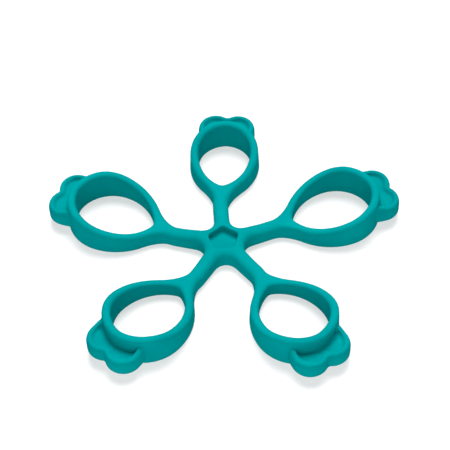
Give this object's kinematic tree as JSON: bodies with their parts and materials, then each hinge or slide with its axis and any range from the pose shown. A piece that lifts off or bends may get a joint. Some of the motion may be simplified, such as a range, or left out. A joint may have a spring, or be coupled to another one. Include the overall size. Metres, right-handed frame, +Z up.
{
  "type": "finger exerciser",
  "caption": "Flat star-shaped silicone hand exerciser: a small hub with flexible straps, each ending in a teardrop finger loop with a two-lobed pull tab.",
  "frame": {"origin": "on the hub's axis, at its flat underside", "axes": "+Z up out of the hub's recessed face; +Y out along the first strap; the other straps follow anticlockwise every 72 degrees"},
  "size_m": [0.0959, 0.0911, 0.0094],
  "materials": {
    "silicone": "satin"
  },
  "bodies": {
    "hub": {"hub": "silicone"},
    "strap_root_1": {"strap_root_1": "silicone"},
    "strap_1": {"strap_1": "silicone"},
    "finger_loop_1": {"finger_loop_1": "silicone", "pull_tab_1": "silicone"},
    "strap_root_2": {"strap_root_2": "silicone"},
    "strap_2": {"strap_2": "silicone"},
    "finger_loop_2": {"finger_loop_2": "silicone", "pull_tab_2": "silicone"},
    "strap_root_3": {"strap_root_3": "silicone"},
    "strap_3": {"strap_3": "silicone"},
    "finger_loop_3": {"finger_loop_3": "silicone", "pull_tab_3": "silicone"},
    "strap_root_4": {"strap_root_4": "silicone"},
    "strap_4": {"strap_4": "silicone"},
    "finger_loop_4": {"finger_loop_4": "silicone", "pull_tab_4": "silicone"},
    "strap_root_5": {"strap_root_5": "silicone"},
    "strap_5": {"strap_5": "silicone"},
    "finger_loop_5": {"finger_loop_5": "silicone", "pull_tab_5": "silicone"}
  },
  "joints": [
    {"name": "swing_1", "type": "hinge", "parent": "hub", "child": "strap_root_1", "pos_m": [0, 0.0074, 0.0023], "axis": [0, 0, 1], "range_deg": [-18, 18], "stiffness_Nm_per_rad": 0.004},
    {"name": "flex_1", "type": "hinge", "parent": "strap_root_1", "child": "strap_1", "pos_m": [0, 0.0107, 0.0023], "axis": [1, 0, 0], "range_deg": [-38, 38], "stiffness_Nm_per_rad": 0.005},
    {"name": "stretch_1", "type": "slide", "parent": "strap_1", "child": "finger_loop_1", "axis": [0, 1, 0], "range_m": [0, 0.012], "stiffness_N_per_m": 600},
    {"name": "swing_2", "type": "hinge", "parent": "hub", "child": "strap_root_2", "pos_m": [-0.00704, 0.00229, 0.0023], "axis": [0, 0, 1], "range_deg": [-18, 18], "stiffness_Nm_per_rad": 0.004},
    {"name": "flex_2", "type": "hinge", "parent": "strap_root_2", "child": "strap_2", "pos_m": [-0.01018, 0.00331, 0.0023], "axis": [0.309, 0.9511, 0], "range_deg": [-38, 38], "stiffness_Nm_per_rad": 0.005},
    {"name": "stretch_2", "type": "slide", "parent": "strap_2", "child": "finger_loop_2", "axis": [-0.9511, 0.309, 0], "range_m": [0, 0.012], "stiffness_N_per_m": 600},
    {"name": "swing_3", "type": "hinge", "parent": "hub", "child": "strap_root_3", "pos_m": [-0.00435, -0.00599, 0.0023], "axis": [0, 0, 1], "range_deg": [-18, 18], "stiffness_Nm_per_rad": 0.004},
    {"name": "flex_3", "type": "hinge", "parent": "strap_root_3", "child": "strap_3", "pos_m": [-0.00629, -0.00866, 0.0023], "axis": [-0.809, 0.5878, 0], "range_deg": [-38, 38], "stiffness_Nm_per_rad": 0.005},
    {"name": "stretch_3", "type": "slide", "parent": "strap_3", "child": "finger_loop_3", "axis": [-0.5878, -0.809, 0], "range_m": [0, 0.012], "stiffness_N_per_m": 600},
    {"name": "swing_4", "type": "hinge", "parent": "hub", "child": "strap_root_4", "pos_m": [0.00435, -0.00599, 0.0023], "axis": [0, 0, 1], "range_deg": [-18, 18], "stiffness_Nm_per_rad": 0.004},
    {"name": "flex_4", "type": "hinge", "parent": "strap_root_4", "child": "strap_4", "pos_m": [0.00629, -0.00866, 0.0023], "axis": [-0.809, -0.5878, 0], "range_deg": [-38, 38], "stiffness_Nm_per_rad": 0.005},
    {"name": "stretch_4", "type": "slide", "parent": "strap_4", "child": "finger_loop_4", "axis": [0.5878, -0.809, 0], "range_m": [0, 0.012], "stiffness_N_per_m": 600},
    {"name": "swing_5", "type": "hinge", "parent": "hub", "child": "strap_root_5", "pos_m": [0.00704, 0.00229, 0.0023], "axis": [0, 0, 1], "range_deg": [-18, 18], "stiffness_Nm_per_rad": 0.004},
    {"name": "flex_5", "type": "hinge", "parent": "strap_root_5", "child": "strap_5", "pos_m": [0.01018, 0.00331, 0.0023], "axis": [0.309, -0.9511, 0], "range_deg": [-38, 38], "stiffness_Nm_per_rad": 0.005},
    {"name": "stretch_5", "type": "slide", "parent": "strap_5", "child": "finger_loop_5", "axis": [0.9511, 0.309, 0], "range_m": [0, 0.012], "stiffness_N_per_m": 600}
  ]
}
